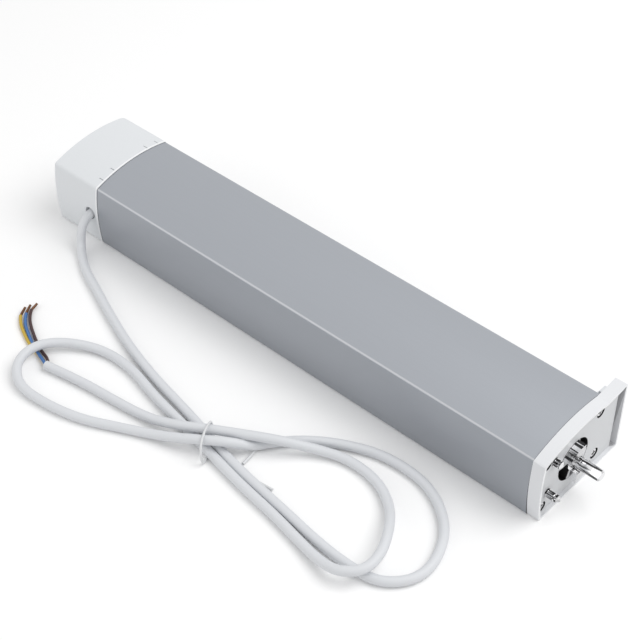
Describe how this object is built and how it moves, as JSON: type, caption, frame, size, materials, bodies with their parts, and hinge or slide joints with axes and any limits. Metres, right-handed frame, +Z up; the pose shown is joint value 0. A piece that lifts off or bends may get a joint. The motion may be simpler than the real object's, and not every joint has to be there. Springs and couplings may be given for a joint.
{
  "type": "curtain motor",
  "caption": "Slim electric curtain motor: extruded body with end cap, mounting flange, geared output shaft, release tab and a free mains cord with bare cores.",
  "frame": {"origin": "under the middle of the motor, on the surface its flat side stands on, cord left out", "axes": "+X along the motor from the tail cap towards the output shaft, +Y towards the side away from the cord, +Z up"},
  "size_m": [0.3514, 0.1742, 0.0437],
  "materials": {
    "anodised": "satin silver anodised, fine lines along the length",
    "cap_plastic": "fine matte, light grey-white",
    "bright_steel": "bright nickel plated",
    "grey_steel": "satin steel",
    "bronze": "sintered",
    "copper": "bare or enamelled copper",
    "gear_plastic": "moulded natural acetal",
    "dark_plastic": "matte black",
    "board": "green circuit board",
    "damper_rubber": "soft matte",
    "cord_jacket": "soft white jacket",
    "tie_plastic": "thin coated wire",
    "core_brown": "thin insulation",
    "core_blue": "thin insulation",
    "core_earth": "thin insulation, yellow with a green line",
    "button_plastic": "grey",
    "clear_plastic": "clear acrylic"
  },
  "bodies": {
    "housing": {"body_extrusion": "anodised", "bulk_capacitor": "dark_plastic", "button_switch": "dark_plastic", "carbon_brushes": "dark_plastic", "clamp_screws": "bright_steel", "claw_hub": "bright_steel", "cord_clamp": "gear_plastic", "cord_grommet": "damper_rubber", "cord_tie": "tie_plastic", "core_blue": "core_blue", "core_brown": "core_brown", "core_earth": "core_earth", "core_strands": "copper", "encoder_board": "board", "field_magnets": "dark_plastic", "filter_choke": "copper", "flange_screws": "bright_steel", "front_damper": "damper_rubber", "front_flange": "cap_plastic", "gearbox_back_plate": "grey_steel", "gearbox_cover": "grey_steel", "gearbox_screws": "bright_steel", "inner_lead": "cord_jacket", "light_pipe": "clear_plastic", "locating_studs": "bright_steel", "motor_bushes": "bronze", "motor_can": "grey_steel", "motor_end_bell": "dark_plastic", "motor_leads": "dark_plastic", "motor_screws": "bright_steel", "output_bush": "bronze", "power_board": "board", "power_cord": "cord_jacket", "radio_module": "board", "rear_damper": "damper_rubber", "relay": "dark_plastic", "release_spring": "grey_steel", "ring_gear": "gear_plastic", "switch_board": "board", "tail_cap": "cap_plastic", "terminal_block": "gear_plastic", "transformer": "dark_plastic"},
    "rotor": {"rotor_shaft": "grey_steel", "rotor_core": "grey_steel", "rotor_windings": "copper", "commutator": "copper", "encoder_magnet": "dark_plastic", "motor_pinion": "bronze"},
    "first_stage": {"first_carrier": "gear_plastic"},
    "output": {"output_shaft": "bright_steel", "output_carrier": "grey_steel"},
    "button": {"set_button": "button_plastic"},
    "latch": {"release_tab": "cap_plastic"},
    "first_planet_a_gear": {"first_planet_a": "gear_plastic"},
    "first_planet_b_gear": {"first_planet_b": "gear_plastic"},
    "first_planet_c_gear": {"first_planet_c": "gear_plastic"},
    "output_planet_a_gear": {"output_planet_a": "gear_plastic"},
    "output_planet_b_gear": {"output_planet_b": "gear_plastic"},
    "output_planet_c_gear": {"output_planet_c": "gear_plastic"}
  },
  "joints": [
    {"name": "rotor_spin", "type": "hinge", "parent": "housing", "child": "rotor", "pos_m": [0.12, -0.00485, 0.0201], "axis": [1, 0, 0], "continuous": true},
    {"name": "first_carrier_spin", "type": "hinge", "parent": "housing", "child": "first_stage", "pos_m": [0.12, -0.00485, 0.0201], "axis": [1, 0, 0], "continuous": true},
    {"name": "output_spin", "type": "hinge", "parent": "housing", "child": "output", "pos_m": [0.12, -0.00485, 0.0201], "axis": [1, 0, 0], "continuous": true},
    {"name": "first_planet_a_spin", "type": "hinge", "parent": "first_stage", "child": "first_planet_a_gear", "pos_m": [0.12, -0.00485, 0.0291], "axis": [1, 0, 0], "continuous": true},
    {"name": "output_planet_a_spin", "type": "hinge", "parent": "output", "child": "output_planet_a_gear", "pos_m": [0.12, -0.00485, 0.0291], "axis": [1, 0, 0], "continuous": true},
    {"name": "first_planet_b_spin", "type": "hinge", "parent": "first_stage", "child": "first_planet_b_gear", "pos_m": [0.12, -0.01264, 0.0156], "axis": [1, 0, 0], "continuous": true},
    {"name": "output_planet_b_spin", "type": "hinge", "parent": "output", "child": "output_planet_b_gear", "pos_m": [0.12, -0.01264, 0.0156], "axis": [1, 0, 0], "continuous": true},
    {"name": "first_planet_c_spin", "type": "hinge", "parent": "first_stage", "child": "first_planet_c_gear", "pos_m": [0.12, 0.00294, 0.0156], "axis": [1, 0, 0], "continuous": true},
    {"name": "output_planet_c_spin", "type": "hinge", "parent": "output", "child": "output_planet_c_gear", "pos_m": [0.12, 0.00294, 0.0156], "axis": [1, 0, 0], "continuous": true},
    {"name": "button_press", "type": "slide", "parent": "housing", "child": "button", "axis": [1, 0, 0], "range_m": [0, 0.0008], "stiffness_N_per_m": 600, "springref_m": -0.0005},
    {"name": "release_press", "type": "slide", "parent": "housing", "child": "latch", "axis": [0, 0, -1], "range_m": [0, 0.003], "stiffness_N_per_m": 900, "springref_m": -0.001, "deforming": ["release_spring"]}
  ],
  "couplings": [
    {"joint": "first_carrier_spin", "follows": "rotor_spin", "ratio": 0.2},
    {"joint": "output_spin", "follows": "rotor_spin", "ratio": 0.04},
    {"joint": "first_planet_a_spin", "follows": "rotor_spin", "ratio": -0.53333},
    {"joint": "output_planet_a_spin", "follows": "rotor_spin", "ratio": -0.10667},
    {"joint": "first_planet_b_spin", "follows": "rotor_spin", "ratio": -0.53333},
    {"joint": "output_planet_b_spin", "follows": "rotor_spin", "ratio": -0.10667},
    {"joint": "first_planet_c_spin", "follows": "rotor_spin", "ratio": -0.53333},
    {"joint": "output_planet_c_spin", "follows": "rotor_spin", "ratio": -0.10667}
  ]
}
